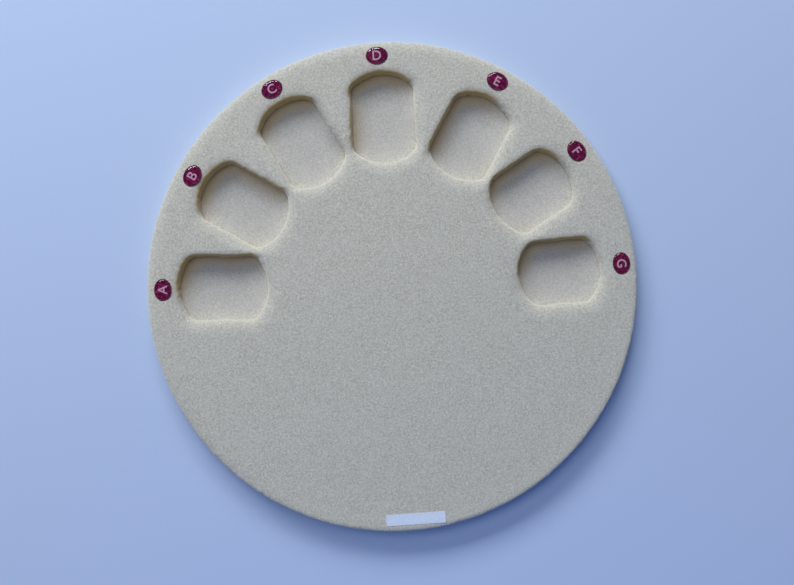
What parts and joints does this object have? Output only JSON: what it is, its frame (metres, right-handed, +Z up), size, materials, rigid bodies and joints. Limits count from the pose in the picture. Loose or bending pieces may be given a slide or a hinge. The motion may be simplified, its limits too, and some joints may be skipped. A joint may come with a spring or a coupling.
{
  "type": "bead mat",
  "caption": "Round soft mat of two bonded flocked-foam discs, with an arc of open cups for loose beads cut into its top and a domed letter badge by each cup.",
  "frame": {"origin": "centre of the round underside, on the surface that the mat lies on", "axes": "+Z up out of the working face, +Y from the centre to the middle cup, +X to the user's right"},
  "size_m": [0.254, 0.254, 0.012],
  "materials": {
    "flocked_foam": "ivory nylon flock on soft foam, matt with a fine nap",
    "adhesive_film": "thin honey-clear adhesive film, hidden between the discs",
    "printed_vinyl": "plum vinyl printed with fine glitter",
    "clear_resin": "clear cast resin dome, glossy",
    "label_paper": "plain white self-adhesive paper"
  },
  "bodies": {
    "root": {"base_layer": "flocked_foam", "bond_film": "adhesive_film", "top_layer": "flocked_foam", "badge_plate_a": "printed_vinyl", "badge_plate_b": "printed_vinyl", "badge_plate_c": "printed_vinyl", "badge_plate_d": "printed_vinyl", "badge_plate_e": "printed_vinyl", "badge_plate_f": "printed_vinyl", "badge_plate_g": "printed_vinyl", "badge_dome_a": "clear_resin", "badge_dome_b": "clear_resin", "badge_dome_c": "clear_resin", "badge_dome_d": "clear_resin", "badge_dome_e": "clear_resin", "badge_dome_f": "clear_resin", "badge_dome_g": "clear_resin", "paper_label": "label_paper"}
  },
  "joints": []
}
